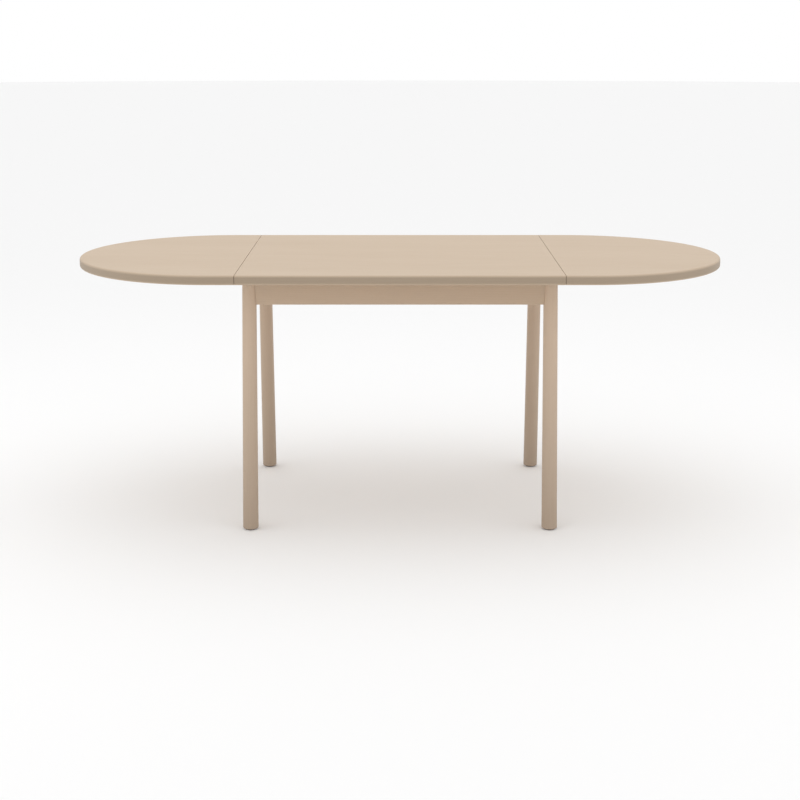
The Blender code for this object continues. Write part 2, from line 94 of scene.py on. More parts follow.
# %% A helper that makes and feeds one node
def feed(tree, socket, value):
    if isinstance(value, bpy.types.Node):
        value = value.outputs[0]
    if isinstance(value, bpy.types.NodeSocket):
        tree.links.new(value, socket)
    else:
        socket.default_value = value


def add(tree, kind, inputs=None, **settings):
    node = tree.nodes.new(kind)
    for name, value in settings.items():
        setattr(node, name, value)
    for key, value in (inputs or {}).items():
        feed(tree, node.inputs[key], value)
    return node


def sums(tree, operation, *values):
    """One Math node; the values are numbers or sockets."""
    return add(tree, "ShaderNodeMath", dict(enumerate(values)), operation=operation)


def mixed(tree, factor, first, second):
    """The colour between two colours; it is the third result of a Mix node."""
    node = add(tree, "ShaderNodeMix", data_type="RGBA")
    feed(tree, node.inputs[0], factor)
    feed(tree, node.inputs[6], (*first, 1))
    feed(tree, node.inputs[7], (*second, 1))
    return node.outputs[2]


# %% [markdown]
# The wood is pale and matt, washed with soap, so its figure is faint. It is
# solid, so the pattern is too: a colour is worked out from the place inside the
# tree trunk, and a cut face then shows what a saw would show. Rings are circles
# round a far pith line, fibres are noise stretched along the grain, and the
# short darker flecks are stretched cells. Broad, slow noise keeps two boards
# from looking the same. The rim of the top and the lower legs also get painted
# shade: the wood's own colour is darkened there, for shade that these lights
# don't cast.

# %% The wood finish
GRAIN_TURN = {"x": (0, 0, 0), "y": (0, 0, math.pi / 2), "z": (0, math.pi / 2, 0)}


# Painted shade: the rim of the top and a leg towards the floor are drawn darker in the wood's own
# colour, for shade these lights don't cast.
RIM_PAINTED_SHADE = 0.63                      # share of the flat's colour that the rim keeps
FOOT_PAINTED_SHADE = 0.61                     # share of its colour that a leg keeps at the floor


def wood(name, pale, deep, grain, roughness=0.52, carved=None, figure=1.0, ripple=0.0):
    """Pale wood; grain is the axis it runs along, carved an attribute to read."""
    made = bpy.data.materials.new(name)
    made.use_nodes = True
    tree = made.node_tree
    shader = tree.nodes["Principled BSDF"]
    if carved:
        place = add(tree, "ShaderNodeAttribute", attribute_name=carved).outputs["Vector"]
    else:
        place = add(tree, "ShaderNodeTexCoord").outputs["Object"]
    along = add(tree, "ShaderNodeMapping", {"Vector": place, "Rotation": GRAIN_TURN[grain]})

    slow = add(tree, "ShaderNodeMapping", {"Vector": along, "Scale": (1.1, 5.0, 5.0)})
    drift = add(tree, "ShaderNodeTexNoise", {"Vector": slow, "Scale": 1.0, "Detail": 3.0})
    axes = add(tree, "ShaderNodeSeparateXYZ", {"Vector": along})
    pith_y = sums(tree, "ADD", axes.outputs["Y"], 0.031)
    pith_z = sums(tree, "ADD", axes.outputs["Z"], -0.52)
    reach = sums(tree, "SQRT", sums(tree, "ADD", sums(tree, "MULTIPLY", pith_y, pith_y),
                                    sums(tree, "MULTIPLY", pith_z, pith_z)))
    bent = sums(tree, "MULTIPLY_ADD", drift, 0.030, reach)
    ring = sums(tree, "FRACT", sums(tree, "MULTIPLY", bent, 310.0))
    late = add(tree, "ShaderNodeMapRange", {"Value": ring, "From Min": 0.35, "From Max": 1.0})

    thin = add(tree, "ShaderNodeMapping", {"Vector": along, "Scale": (9.0, 620.0, 620.0)})
    fibre = add(tree, "ShaderNodeTexNoise", {"Vector": thin, "Scale": 1.0, "Detail": 2.0})
    short = add(tree, "ShaderNodeMapping", {"Vector": along, "Scale": (105.0, 560.0, 560.0)})
    cells = add(tree, "ShaderNodeTexVoronoi", {"Vector": short, "Scale": 1.0})
    fleck = add(tree, "ShaderNodeMapRange",
                {"Value": cells.outputs["Distance"], "From Min": 0.30, "From Max": 0.12})

    tone = sums(tree, "MULTIPLY_ADD", drift, 0.55 * figure, 0.02)
    tone = sums(tree, "MULTIPLY_ADD", late, 0.10 * figure, tone)
    tone = sums(tree, "MULTIPLY_ADD", fibre, 0.26 * figure, tone)
    tone = sums(tree, "MULTIPLY_ADD", fleck, 0.20 * figure, tone)
    tone.use_clamp = True
    colour = mixed(tree, tone, pale, deep)
    # Painted shade: the colour is darkened on the rounded rim, and on a leg towards the floor.
    rim = add(tree, "ShaderNodeAttribute", attribute_name="rim").outputs["Fac"]
    shade = add(tree, "ShaderNodeMapRange", {"Value": rim, "To Min": 1.0, "To Max": RIM_PAINTED_SHADE})
    if carved:
        level = add(tree, "ShaderNodeSeparateXYZ", {"Vector": place}).outputs["Z"]
        lower = add(tree, "ShaderNodeMapRange", {"Value": level, "From Max": TOP,
                                                 "To Min": FOOT_PAINTED_SHADE, "To Max": 1.0})
        shade = sums(tree, "MULTIPLY", shade, lower)
    shaded = add(tree, "ShaderNodeVectorMath", {0: colour, "Scale": shade}, operation="SCALE")
    feed(tree, shader.inputs["Base Color"], shaded)

    rough = add(tree, "ShaderNodeMapRange", {"Value": fibre, "From Min": 0.25, "From Max": 0.75,
                                             "To Min": roughness - 0.05, "To Max": roughness + 0.06})
    feed(tree, shader.inputs["Roughness"], rough)
    height = sums(tree, "MULTIPLY_ADD", fleck, -0.7, fibre)
    if ripple:
        wave = sums(tree, "SINE", sums(tree, "MULTIPLY", axes.outputs["X"], 2 * math.pi / 0.0035))
        height = sums(tree, "MULTIPLY_ADD", wave, ripple, height)
    bump = add(tree, "ShaderNodeBump", {"Height": height, "Strength": 0.35, "Distance": 0.00012})
    feed(tree, shader.inputs["Normal"], bump)
    return made


TOP_WOOD = wood("soaped_wood_top", (0.592, 0.470, 0.346), (0.480, 0.356, 0.240), "x")
APRON_WOOD_X = wood("soaped_wood_along_x", (0.600, 0.470, 0.350), (0.480, 0.350, 0.240), "x")
APRON_WOOD_Y = wood("soaped_wood_along_y", (0.600, 0.470, 0.350), (0.480, 0.350, 0.240), "y")
LEG_WOOD = wood("soaped_wood_legs", (0.695, 0.540, 0.405), (0.560, 0.420, 0.305), "z",
                carved="grain_place")
BARE_WOOD_X = wood("bare_wood_along_x", (0.560, 0.420, 0.290), (0.400, 0.270, 0.165), "x",
                   roughness=0.66, figure=1.2, ripple=0.5)
BARE_WOOD_Y = wood("bare_wood_along_y", (0.560, 0.420, 0.290), (0.400, 0.270, 0.165), "y",
                   roughness=0.66, figure=1.2, ripple=0.5)
print("wood finishes:", [m.name for m in bpy.data.materials if "wood" in m.name])

# %% [markdown]
# The hinges, screws, rods and brackets are steel with a thin coat of zinc. The
# coat is grey with a faint cloudy change of tone, and rolling the sheet left
# fine scratches. Felt is a mat of short fibres, so its colour is mottled, and
# it has sheen at a low angle instead of gloss.

# %% The zinc and felt finishes
def zinc_finish():
    made = bpy.data.materials.new("zinc_plated_steel")
    made.use_nodes = True
    tree = made.node_tree
    shader = tree.nodes["Principled BSDF"]
    place = add(tree, "ShaderNodeTexCoord").outputs["Object"]
    cloud = add(tree, "ShaderNodeTexNoise", {"Vector": place, "Scale": 140.0, "Detail": 3.0})
    scratch_place = add(tree, "ShaderNodeMapping", {"Vector": place, "Scale": (2600, 160, 2600)})
    scratch = add(tree, "ShaderNodeTexNoise", {"Vector": scratch_place, "Scale": 1.0})
    plated = mixed(tree, cloud, (0.44, 0.44, 0.42), (0.70, 0.70, 0.66))
    feed(tree, shader.inputs["Base Color"], plated)
    shader.inputs["Metallic"].default_value = 1.0
    rough = add(tree, "ShaderNodeMapRange", {"Value": scratch, "To Min": 0.28, "To Max": 0.52})
    feed(tree, shader.inputs["Roughness"], rough)
    bump = add(tree, "ShaderNodeBump", {"Height": scratch, "Strength": 0.25, "Distance": 0.00004})
    feed(tree, shader.inputs["Normal"], bump)
    return made


def felt_finish():
    made = bpy.data.materials.new("pressed_felt")
    made.use_nodes = True
    tree = made.node_tree
    shader = tree.nodes["Principled BSDF"]
    place = add(tree, "ShaderNodeTexCoord").outputs["Object"]
    mat = add(tree, "ShaderNodeTexNoise", {"Vector": place, "Scale": 1500.0, "Detail": 4.0,
                                           "Distortion": 2.5})
    mottled = mixed(tree, mat, (0.115, 0.100, 0.085), (0.250, 0.225, 0.195))
    feed(tree, shader.inputs["Base Color"], mottled)
    shader.inputs["Roughness"].default_value = 0.95
    shader.inputs["Sheen Weight"].default_value = 0.35
    bump = add(tree, "ShaderNodeBump", {"Height": mat, "Strength": 0.8, "Distance": 0.0004})
    feed(tree, shader.inputs["Normal"], bump)
    return made


ZINC = zinc_finish()
FELT = felt_finish()
print("other finishes:", ZINC.name, "and", FELT.name)

# %% [markdown]
# Every piece ends the same way: its faces point outwards, edges sharper than 30
# degrees stay crisp and the rest are smooth, it gets its finish, and it is hung
# on the body that moves it. The fixed pieces it stands for, if any, are hidden.

# %% A helper that finishes a piece
made_pieces = []


def finish_piece(name, mesh, material, body, slot, *stands_for):
    mesh.materials.clear()
    mesh.materials.append(material)
    mesh.shade_smooth()
    mesh.set_sharp_from_angle(angle=math.radians(30))
    piece = bpy.data.objects.new(name, mesh)
    scene.collection.objects.link(piece)
    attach(piece, body)
    if stands_for:
        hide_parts(*stands_for)
    made_pieces.append(piece)
    return piece


def as_mesh(name, shape):
    """Merge what coincides, turn the faces outwards and keep the mesh."""
    bmesh.ops.remove_doubles(shape, verts=shape.verts, dist=1e-6)
    bmesh.ops.recalc_face_normals(shape, faces=shape.faces)
    mesh = bpy.data.meshes.new(name)
    shape.to_mesh(mesh)
    shape.free()
    return mesh


# %% [markdown]
# The top is one board cut in three. Its rim is rounded above and below, so the
# board is made as a run of closed rings from the seam to the tip of the leaf.
# Each ring follows the rounded rim at the front, crosses under the board, and
# comes back up the rounded rim at the rear. A bevel would do this too, but the
# rings give even faces and an exact half circle. The cut faces at the seams are
# only eased by 0.3 mm, which keeps the seam a fine line.

# %% The rings of a board
EDGE_RADIUS = 0.006
EDGE_STEPS = 8
EASE = 0.0003                         # softening of the cut edges at a seam
SUPPORT = 0.0015                      # flat strip that keeps the faces' shading flat

rim_profile = [(EDGE_RADIUS + SUPPORT, TOP)]
for step in range(EDGE_STEPS + 1):
    turn = math.pi / 2 * step / EDGE_STEPS
    rim_profile.append((EDGE_RADIUS * (1 - math.sin(turn)),
                        TOP - EDGE_RADIUS * (1 - math.cos(turn))))
rim_profile += [(inset, UNDER + TOP - z) for inset, z in reversed(rim_profile)]


def board_ring(shape, x, y, nx, ny, shrink=0.0):
    """Vertices of one ring; (x, y) is on the rim, (nx, ny) points out of it."""
    middle = (TOP + UNDER) / 2
    front, rear = [], []
    for inset, z in rim_profile:
        z = middle + (z - middle) * (1 - 2 * shrink / (TOP - UNDER))
        px, py = x - nx * (inset + shrink), y - ny * (inset + shrink)
        front.append(shape.verts.new((px, py, z)))
        rear.append(shape.verts.new((px, -py, z)))
    return front + rear[::-1]


def board_mesh(name, stations):
    """Rings at the stations, joined; an end with a width is closed with a face."""
    shape = bmesh.new()
    rings = [board_ring(shape, *station) for station in stations]
    count = len(rings[0])
    for ring, following in zip(rings, rings[1:]):
        for i in range(count):
            j = (i + 1) % count
            shape.faces.new((ring[i], ring[j], following[j], following[i]))
    for ring, station in ((rings[0], stations[0]), (rings[-1], stations[-1])):
        if abs(station[1]) > 1e-6:
            shape.faces.new(ring)
    mesh = as_mesh(name, shape)
    # The rim value marks the rounded edge, where the wood gets painted shade.
    rim = mesh.attributes.new("rim", "FLOAT", "POINT")
    for vertex in mesh.vertices:
        above = max(0.0, vertex.co.z - (TOP - EDGE_RADIUS), UNDER + EDGE_RADIUS - vertex.co.z)
        flat = abs(vertex.co.z - TOP) < 1e-5 or abs(vertex.co.z - UNDER) < 1e-5
        rim.data[vertex.index].value = 0.0 if flat else 1.0 - above / EDGE_RADIUS
    return mesh


# %% The centre section
seam_end = [(SEAM_FACE, HALF_WIDTH, 0, 1, EASE), (SEAM_FACE - EASE, HALF_WIDTH, 0, 1),
            (SEAM_FACE - EASE - SUPPORT, HALF_WIDTH, 0, 1)]
stations = [(-s[0], -s[1], 0, -1, *s[4:]) for s in seam_end]
stations += [(s[0], -s[1], 0, -1, *s[4:]) for s in reversed(seam_end)]
centre = finish_piece("table_centre_board", board_mesh("table_centre_board", stations),
                      TOP_WOOD, "frame", "top_wood", "centre_top")
print(centre.name, len(centre.data.polygons), "faces")

# %% The two leaves, each with a short straight side and a round end
ROUND_STEPS = 80                      # steps in a quarter circle


def leaf_stations(side):
    start = side * LEAF_FACE
    arc_x = LEAF_TIP - HALF_WIDTH
    run = [(start, -HALF_WIDTH, 0, -1, EASE), (start + side * EASE, -HALF_WIDTH, 0, -1),
           (start + side * (EASE + SUPPORT), -HALF_WIDTH, 0, -1)]
    for step in range(ROUND_STEPS + 1):
        turn = math.pi / 2 * step / ROUND_STEPS
        nx, ny = side * math.sin(turn), -math.cos(turn)
        if step == ROUND_STEPS:
            ny = 0.0
        run.append((side * arc_x + HALF_WIDTH * nx, HALF_WIDTH * ny, nx, ny))
    return run


for side_name, side in SIDES.items():
    name = f"table_leaf_{side_name}"
    leaf = finish_piece(name, board_mesh(name, leaf_stations(side)), TOP_WOOD,
                        f"leaf_{side_name}", "top_wood", f"leaf_{side_name}")
    print(leaf.name, len(leaf.data.polygons), "faces")

# %% [markdown]
# A leg is turned on a lathe: a little thicker at the foot than at the top, with
# the edge of the foot rounded. It leans to the front or the rear, and its ends
# are cut level. That is a rule, so Geometry Nodes make it: a line is given a
# radius at each height, a circle runs along it, and each level is then pushed
# sideways in step with its height. The straight leg's own coordinates are kept
# as an attribute before the push, so the grain follows the lean.

# %% A tree with named inputs
def new_tree(name, inputs):
    """A Geometry Nodes tree; inputs is a list of (name, socket type)."""
    tree = bpy.data.node_groups.new(name, "GeometryNodeTree")
    tree.interface.new_socket("Geometry", in_out="INPUT", socket_type="NodeSocketGeometry")
    for label, kind in inputs:
        tree.interface.new_socket(label, in_out="INPUT", socket_type=f"NodeSocket{kind}")
    tree.interface.new_socket("Geometry", in_out="OUTPUT", socket_type="NodeSocketGeometry")
    start = tree.nodes.new("NodeGroupInput")
    return tree, start.outputs


def close_tree(tree, geometry, material):
    """Every tree ends in Realize Instances and Set Material."""
    solid = add(tree, "GeometryNodeRealizeInstances", {"Geometry": geometry})
    painted = add(tree, "GeometryNodeSetMaterial", {"Geometry": solid, "Material": material})
    add(tree, "NodeGroupOutput", {"Geometry": painted})


def grow(name, tree, values, start_mesh):
    """Run a tree on a mesh and keep the result as a plain mesh."""
    carrier = bpy.data.objects.new(name, start_mesh)
    scene.collection.objects.link(carrier)
    modifier = carrier.modifiers.new("grow", "NODES")
    modifier.node_group = tree
    for item in tree.interface.items_tree:
        if item.in_out == "INPUT" and item.name in values:
            modifier[item.identifier] = values[item.name]
    graph = bpy.context.evaluated_depsgraph_get()
    mesh = bpy.data.meshes.new_from_object(carrier.evaluated_get(graph),
                                           preserve_all_data_layers=True, depsgraph=graph)
    bpy.data.objects.remove(carrier, do_unlink=True)
    mesh.name = name
    shape = bmesh.new()
    shape.from_mesh(mesh)
    bmesh.ops.recalc_face_normals(shape, faces=shape.faces)
    shape.to_mesh(mesh)
    shape.free()
    return mesh


# %% The leg tree
leg_tree, leg = new_tree("turned_leg", [
    ("Top Height", "Float"), ("Foot Height", "Float"), ("Top Radius", "Float"),
    ("Foot Radius", "Float"), ("Foot Rounding", "Float"), ("Lean", "Float"),
    ("Top Place", "Vector"), ("Levels", "Int"), ("Sides", "Int"), ("Finish", "Material")])

line = add(leg_tree, "GeometryNodeCurvePrimitiveLine", {"Start": (0, 0, 0), "End": (0, 0, 1)})
line = add(leg_tree, "GeometryNodeResampleCurve", {"Curve": line, "Count": leg["Levels"]})
factor = add(leg_tree, "GeometryNodeSplineParameter").outputs["Factor"]
bunched = sums(leg_tree, "POWER", factor, 3.0)          # levels lie closest at the foot
tall = sums(leg_tree, "SUBTRACT", leg["Top Height"], leg["Foot Height"])
height = sums(leg_tree, "MULTIPLY_ADD", bunched, tall, leg["Foot Height"])
spot = add(leg_tree, "ShaderNodeCombineXYZ", {"Z": height})
line = add(leg_tree, "GeometryNodeSetPosition", {"Geometry": line, "Position": spot})

# The points have moved, so the radius has to ask for their place again.
straight = add(leg_tree, "GeometryNodeInputPosition")
level = add(leg_tree, "ShaderNodeSeparateXYZ", {"Vector": straight}).outputs["Z"]
above = sums(leg_tree, "SUBTRACT", level, leg["Foot Height"])
share = sums(leg_tree, "DIVIDE", level, leg["Top Height"])
taper = sums(leg_tree, "SUBTRACT", leg["Top Radius"], leg["Foot Radius"])
radius = sums(leg_tree, "MULTIPLY_ADD", share, taper, leg["Foot Radius"])
below = sums(leg_tree, "SUBTRACT", leg["Foot Rounding"], above)
below = sums(leg_tree, "MAXIMUM", below, 0.0)
rest = sums(leg_tree, "SUBTRACT", sums(leg_tree, "POWER", leg["Foot Rounding"], 2.0),
            sums(leg_tree, "POWER", below, 2.0))
kept = sums(leg_tree, "SQRT", sums(leg_tree, "MAXIMUM", rest, 0.0))
cut = sums(leg_tree, "SUBTRACT", leg["Foot Rounding"], kept)
radius = sums(leg_tree, "SUBTRACT", radius, cut)
circle = add(leg_tree, "GeometryNodeCurvePrimitiveCircle",
             {"Resolution": leg["Sides"], "Radius": 1.0})
stick = add(leg_tree, "GeometryNodeCurveToMesh",
            {"Curve": line, "Profile Curve": circle.outputs["Curve"], "Scale": radius,
             "Fill Caps": True})
grain_place = add(leg_tree, "ShaderNodeVectorMath", {0: straight, 1: leg["Top Place"]},
                  operation="ADD")
stored = add(leg_tree, "GeometryNodeStoreNamedAttribute", data_type="FLOAT_VECTOR")
feed(leg_tree, stored.inputs["Geometry"], stick)
feed(leg_tree, stored.inputs["Name"], "grain_place")
feed(leg_tree, [s for s in stored.inputs if s.name == "Value" and s.enabled][0], grain_place)
drop = sums(leg_tree, "SUBTRACT", leg["Top Height"], level)
push = add(leg_tree, "ShaderNodeCombineXYZ", {"Y": sums(leg_tree, "MULTIPLY", drop, leg["Lean"])})
push = add(leg_tree, "ShaderNodeVectorMath", {0: push, 1: leg["Top Place"]}, operation="ADD")
leaning = add(leg_tree, "GeometryNodeSetPosition", {"Geometry": stored, "Offset": push})
close_tree(leg_tree, leaning, leg["Finish"])
print("leg tree:", len(leg_tree.nodes), "nodes")

# %% Four legs from one tree
LEG_TOP_RADIUS = 0.0195
LEG_FOOT_RADIUS = 0.0215
LEG_TAPER = (LEG_FOOT_RADIUS - LEG_TOP_RADIUS) / UNDER
FOOT_ROUNDING = 0.0025


def leg_box(side_name, end_name):
    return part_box(f"leg_{end_name}_{side_name}")


def leg_axis(side_name, end_name):
    """Middle of the leg at its top and at its foot, from the leg's box."""
    low, high = leg_box(side_name, end_name)
    top_radius = LEG_FOOT_RADIUS - LEG_TAPER * high.z
    foot_radius = LEG_FOOT_RADIUS - LEG_TAPER * (low.z + FOOT_ROUNDING)
    x = (low.x + high.x) / 2
    if ENDS[end_name] < 0:
        top_y, foot_y = high.y - top_radius, low.y + foot_radius
    else:
        top_y, foot_y = low.y + top_radius, high.y - foot_radius
    lean = (foot_y - top_y) / (high.z - low.z - FOOT_ROUNDING)
    return Vector((x, top_y, high.z)), lean, low.z, top_radius


for side_name in SIDES:
    for end_name in ENDS:
        top_spot, lean, foot_z, top_radius = leg_axis(side_name, end_name)
        name = f"turned_leg_{end_name}_{side_name}"
        mesh = grow(name, leg_tree, {
            "Top Height": top_spot.z, "Foot Height": foot_z, "Top Radius": top_radius,
            "Foot Radius": LEG_FOOT_RADIUS, "Foot Rounding": FOOT_ROUNDING, "Lean": lean,
            "Top Place": (top_spot.x, top_spot.y, 0.0), "Levels": 44, "Sides": 64,
            "Finish": LEG_WOOD}, bpy.data.meshes.new("start"))
        finish_piece(name, mesh, LEG_WOOD, "frame", "frame_wood", f"leg_{end_name}_{side_name}")
        print(name, "leans", round(math.degrees(math.atan(lean)), 2), "degrees,",
              len(mesh.polygons), "faces")

# %% [markdown]
# An apron is a plain board on edge, and what makes it fit is the shape of its
# ends: they are hollowed to lie round the leaning legs. A small lattice of
# points that covers only the outside of a box can take any such shape. One
# function says where a point of the unit box goes, and the lattice follows it.

# %% A lattice shell that a function can shape
def lattice_shell(counts, place):
    shape = bmesh.new()
    cells = {}
    spans = [range(count + 1) for count in counts]
    for i in spans[0]:
        for j in spans[1]:
            for k in spans[2]:
                if 0 in (i, j, k) or i == counts[0] or j == counts[1] or k == counts[2]:
                    unit = (i / counts[0], j / counts[1], k / counts[2])
                    cells[i, j, k] = shape.verts.new(place(*unit))
    for axis in range(3):
        first, second = [a for a in range(3) if a != axis]
        for face_at in (0, counts[axis]):
            for p in range(counts[first]):
                for q in range(counts[second]):
                    corner = [0, 0, 0]
                    corner[axis] = face_at
                    quad = []
                    for dp, dq in ((0, 0), (1, 0), (1, 1), (0, 1)):
                        corner[first], corner[second] = p + dp, q + dq
                        quad.append(cells[tuple(corner)])
                    shape.faces.new(quad)
    return shape


# %% The long aprons, hollowed at both ends to fit the legs
APRON_EASE = 0.0020                   # rounding of the lower edges


def eased_rows(low_z, high_z, radius, steps=6):
    """Heights from low to high, and how far each is drawn in by the rounding."""
    rows = [(low_z + radius * (1 - math.cos(math.pi / 2 * s / steps)),
             radius * (1 - math.sin(math.pi / 2 * s / steps))) for s in range(steps + 1)]
    rows += [(low_z + radius + 0.0015, 0.0)]
    rows += [(low_z + radius + (high_z - low_z - radius) * s / 6, 0.0) for s in range(1, 7)]
    return rows


def leg_section(side_name, end_name, z):
    """Axis (x, y) and radius of a leg at one height."""
    top_spot, lean, _, _ = leg_axis(side_name, end_name)
    y = top_spot.y + lean * (top_spot.z - z)
    return top_spot.x, y, LEG_FOOT_RADIUS - LEG_TAPER * z


for end_name, end in ENDS.items():
    low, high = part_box(f"apron_{end_name}")
    rows = eased_rows(low.z, high.z, APRON_EASE)

    def long_apron(u, v, w):
        z, inset = rows[round(w * (len(rows) - 1))]
        side_name = "right" if u > 0.5 else "left"
        y = low.y + inset + (high.y - low.y - 2 * inset) * v
        leg_x, leg_y, radius = leg_section(side_name, end_name, z)
        reach = radius + TOUCH
        hollow = math.sqrt(max(0.0, reach ** 2 - (y - leg_y) ** 2))
        return (leg_x - SIDES[side_name] * hollow, y, z)

    name = f"long_apron_{end_name}"
    shell = lattice_shell((1, 10, len(rows) - 1), long_apron)
    piece = finish_piece(name, as_mesh(name, shell), APRON_WOOD_X, "frame", "frame_wood",
                         f"apron_{end_name}")
    print(name, len(piece.data.polygons), "faces")

# %% The end aprons, which stop at the long aprons and clear the legs
for side_name, side in SIDES.items():
    low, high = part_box(f"apron_{side_name}")
    rows = eased_rows(low.z, high.z, APRON_EASE)
    inner_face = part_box("apron_rear")[0].y - TOUCH

    def end_apron(u, v, w):
        z, inset = rows[round(w * (len(rows) - 1))]
        end_name = "rear" if v > 0.5 else "front"
        x = low.x + inset + (high.x - low.x - 2 * inset) * u
        leg_x, leg_y, radius = leg_section(side_name, end_name, z)
        reach = radius + TOUCH
        beside = abs(x - leg_x)
        y = inner_face
        if beside < reach:
            y = min(y, abs(leg_y) - math.sqrt(reach ** 2 - beside ** 2))
        return (x, ENDS[end_name] * y, z)

    name = f"end_apron_{side_name}"
    shell = lattice_shell((12, 1, len(rows) - 1), end_apron)
    piece = finish_piece(name, as_mesh(name, shell), APRON_WOOD_Y, "frame", "frame_wood",
                         f"apron_{side_name}")
    print(name, len(piece.data.polygons), "faces")

# %% [markdown]
# Most of the small pieces are slabs: hinge plates, battens, gate arms, felt
# discs. Each has an outline with round corners, and a softened edge all round.
# One helper makes them all. With corners as large as half the width it gives a
# bar with round ends, and with no straight side at all it gives a disc.

# %% A slab with round corners and softened edges
def rounded_outline(length, width, corner, steps):
    """Points of a rounded rectangle round the origin, each with its normal."""
    points = []
    for number, (sx, sy) in enumerate(((1, 1), (-1, 1), (-1, -1), (1, -1))):
        cx, cy = sx * (length / 2 - corner), sy * (width / 2 - corner)
        for step in range(steps + 1):
            turn = math.pi / 2 * (number + step / steps)
            nx, ny = math.cos(turn), math.sin(turn)
            points.append((cx + corner * nx, cy + corner * ny, nx, ny))
    return points


def slab(length, width, thickness, corner, soft, place, steps=8, soft_steps=3, soft_top=True):
    """A slab centred on the matrix; its thickness runs along the local Z."""
    shape = bmesh.new()
    assert soft * 1.3 < corner, "the softened edge has to stay inside the round corners"
    outline = rounded_outline(length, width, corner, steps)
    half = thickness / 2
    levels = [(soft * 1.3, -half)]
    levels += [(soft * (1 - math.sin(math.pi / 2 * s / soft_steps)),
                -half + soft * (1 - math.cos(math.pi / 2 * s / soft_steps)))
               for s in range(soft_steps + 1)]
    if soft_top:
        levels += [(inset, -z) for inset, z in reversed(levels)]
    else:
        levels += [(0.0, half)]
    rings = []
    for inset, z in levels:
        ring = [shape.verts.new((x - nx * inset, y - ny * inset, z)) for x, y, nx, ny in outline]
        rings.append(ring)
    count = len(outline)
    for ring, following in zip(rings, rings[1:]):
        for i in range(count):
            j = (i + 1) % count
            shape.faces.new((ring[i], ring[j], following[j], following[i]))
    shape.faces.new(rings[0])
    shape.faces.new(rings[-1])
    bmesh.ops.transform(shape, matrix=place, verts=shape.verts)
    return shape


def box_of(node):
    """Middle and size of a fixed piece."""
    low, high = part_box(node)
    return (low + high) / 2, high - low


def joined(*shapes):
    """Several closed shells in one mesh."""
    whole = bmesh.new()
    for shape in shapes:
        holder = bpy.data.meshes.new("holder")
        bmesh.ops.remove_doubles(shape, verts=shape.verts, dist=1e-6)
        shape.to_mesh(holder)
        shape.free()
        whole.from_mesh(holder)
        bpy.data.meshes.remove(holder)
    return whole


# %% [markdown]
# Under the top there is plain, unsoaped wood: a rail across the middle, glue
# blocks in the corners, and the buttons that hold the top. A button is a small
# block with a tongue that sits in a slot of the apron, so the top can swell and
# shrink. These shapes are right already, so a copy of each fixed piece is
# merged, its flat faces are joined up again, and its edges are eased.

# %% Blocks, rail and buttons with eased edges
def eased_copy(node, radius, steps=2):
    shape = bmesh.new()
    shape.from_mesh(frame["nodes"][node].data)
    bmesh.ops.remove_doubles(shape, verts=shape.verts, dist=1e-6)
    bmesh.ops.dissolve_limit(shape, angle_limit=math.radians(1), verts=shape.verts,
                             edges=shape.edges)
    crisp = [edge for edge in shape.edges if edge.calc_face_angle(0) > math.radians(20)]
    bmesh.ops.bevel(shape, geom=crisp, offset=radius, segments=steps, profile=0.5,
                    affect="EDGES", clamp_overlap=True)
    return shape


hidden_wood = {"centre_rail": ("cross_rail", BARE_WOOD_Y, 0.0015)}
for side_name in SIDES:
    hidden_wood[f"top_button_{side_name}"] = (f"button_end_{side_name}", BARE_WOOD_X, 0.0008)
    for end_name in ENDS:
        hidden_wood[f"corner_block_{end_name}_{side_name}"] = (
            f"glue_block_{end_name}_{side_name}", BARE_WOOD_X, 0.0012)
        hidden_wood[f"top_button_{end_name}_{side_name}"] = (
            f"button_{end_name}_{side_name}", BARE_WOOD_Y, 0.0008)
for node, (name, material, radius) in hidden_wood.items():
    finish_piece(name, as_mesh(name, eased_copy(node, radius)), material, "frame",
                 "inner_wood", node)
print(len(hidden_wood), "small wooden pieces under the top")

# %% [markdown]
# A leaf is kept flat by two battens, and a thin keeper strip stops the gate's
# bar from sliding off. A gate is a light wooden frame: two arms with round ends
# and a turned bar between them. Its rod turns in two brackets on the end apron.

# %% Battens and keepers under the leaves
BATTEN_CORNER, BATTEN_SOFT = 0.006, 0.004
KEEPER_CORNER, KEEPER_SOFT = 0.002, 0.0008

for side_name, side in SIDES.items():
    body = f"leaf_{side_name}"
    for end_name in ENDS:
        node = f"leaf_batten_{side_name}_{end_name}"
        middle, size = box_of(node)
        shape = slab(size.x, size.y, size.z, BATTEN_CORNER, BATTEN_SOFT,
                     Matrix.Translation(middle), soft_top=False)
        finish_piece(f"batten_{side_name}_{end_name}", as_mesh(node, shape), BARE_WOOD_X,
                     body, "inner_wood", node)
    node = f"gate_keeper_{side_name}"
    middle, size = box_of(node)
    shape = slab(size.x, size.y, size.z, KEEPER_CORNER, KEEPER_SOFT,
                 Matrix.Translation(middle), soft_top=False)
    finish_piece(f"keeper_{side_name}", as_mesh(node, shape), BARE_WOOD_Y, body,
                 "inner_wood", node)
print("battens and keepers made")

# %% Gate arms, bars and rods
def lathe(profile, place, steps=32):
    """Spin (radius, height) points round the local Z; both ends lie on the axis."""
    shape = bmesh.new()
    points = [shape.verts.new((radius, 0.0, height)) for radius, height in profile]
    edges = [shape.edges.new(pair) for pair in zip(points, points[1:])]
    bmesh.ops.spin(shape, geom=points + edges, cent=(0, 0, 0), axis=(0, 0, 1),
                   angle=2 * math.pi, steps=steps, use_merge=True)
    bmesh.ops.remove_doubles(shape, verts=shape.verts, dist=1e-6)
    bmesh.ops.transform(shape, matrix=place, verts=shape.verts)
    return shape


def along_y(x, y, z):
    """Local Z turned to +Y."""
    return Matrix.Translation((x, y, z)) @ Matrix.Rotation(-math.pi / 2, 4, "X")


